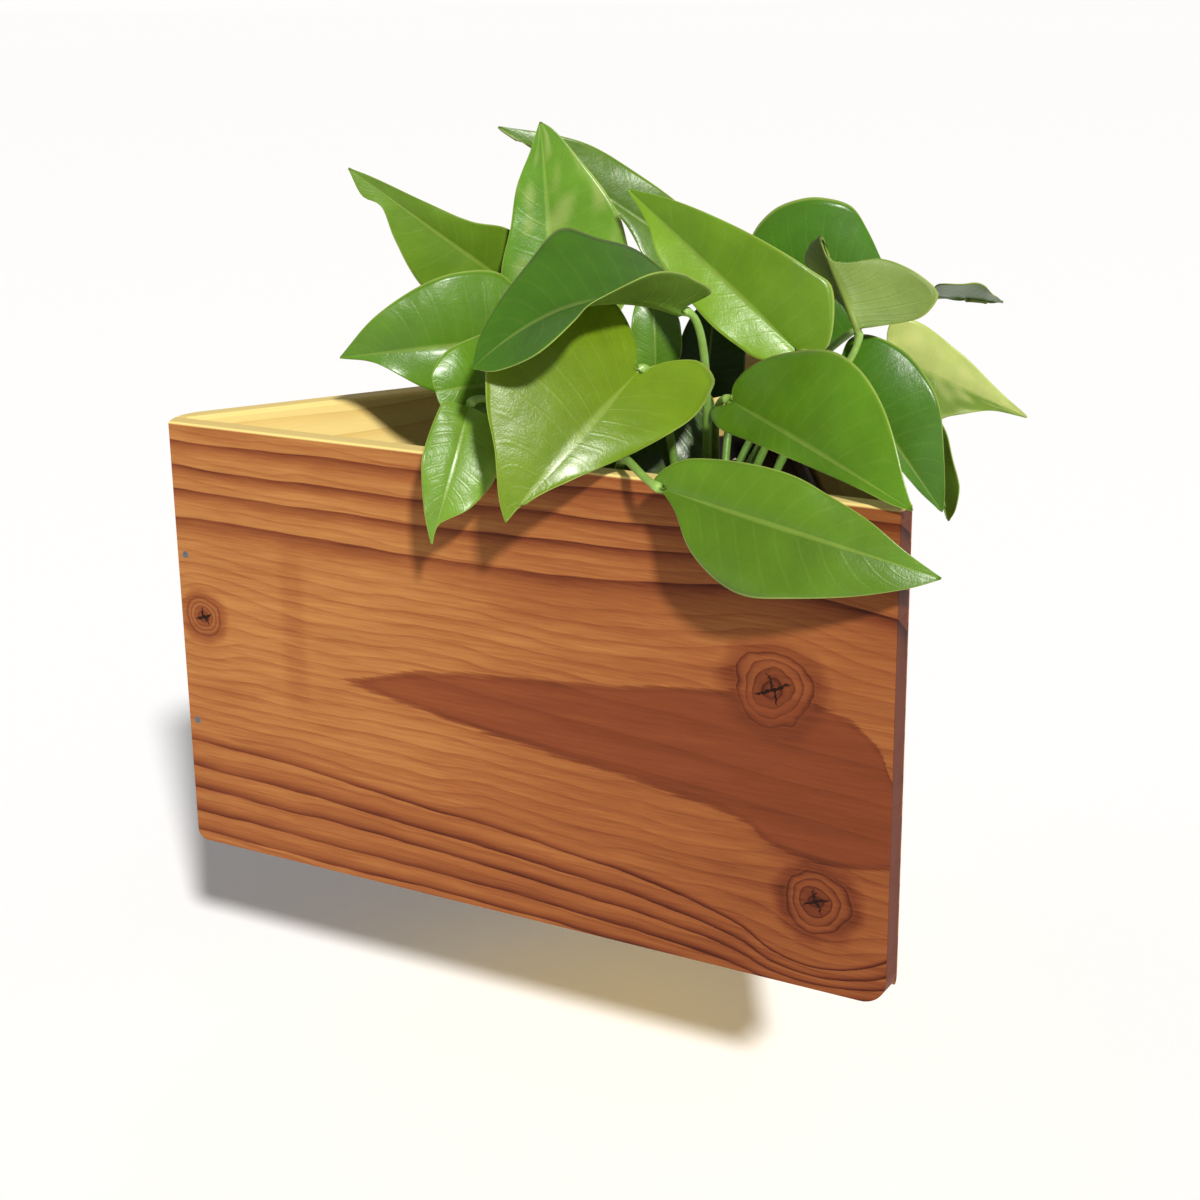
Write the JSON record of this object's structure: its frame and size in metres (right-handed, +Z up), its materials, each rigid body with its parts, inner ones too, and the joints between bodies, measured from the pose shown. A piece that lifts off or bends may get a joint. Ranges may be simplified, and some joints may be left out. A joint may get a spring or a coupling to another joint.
{
  "type": "wall planter",
  "caption": "Triangular wooden wall planter with a lift-out liner, potting soil and a leafy trailing plant.",
  "frame": {"origin": "on the wall face of the back board, midway between the two wall screw holes", "axes": "+X to the right along the wall, +Y into the wall, +Z up"},
  "size_m": [0.341, 0.3102, 0.299],
  "materials": {
    "stained_wood": "oiled, satin",
    "bare_wood": "planed, matte",
    "brads": "dull steel",
    "liner": "matte black",
    "soil": "crumbly, matte",
    "plant": "waxy, satin",
    "stem": "matte"
  },
  "bodies": {
    "box": {"front_board": "stained_wood", "side_board": "stained_wood", "back_board": "stained_wood", "base_board": "bare_wood", "front_cleat": "bare_wood", "side_cleat": "bare_wood", "back_cleat": "bare_wood", "front_corner_block": "bare_wood", "wall_corner_block": "bare_wood", "corner_brads": "brads"},
    "planting": {"liner": "liner", "potting_soil": "soil", "cut_stem": "stem", "leaf_upper_left": "plant", "leaf_upright": "plant", "leaf_back_high": "plant", "leaf_left": "plant", "leaf_curled": "plant", "leaf_lime": "plant", "leaf_front_heart": "plant", "leaf_small_left": "plant", "leaf_hanging_left": "plant", "leaf_small_inner": "plant", "leaf_dark_inner": "plant", "leaf_round_back": "plant", "leaf_folded_pale": "plant", "leaf_sliver_right": "plant", "leaf_cream": "plant", "leaf_right": "plant", "leaf_right_centre": "plant", "leaf_front_low": "plant", "leaf_curl_right": "plant", "leaf_shaded_front": "plant"}
  },
  "joints": [
    {"name": "planting_lift", "type": "slide", "parent": "box", "child": "planting", "axis": [0, 0, 1], "range_m": [0, 0.25]}
  ]
}
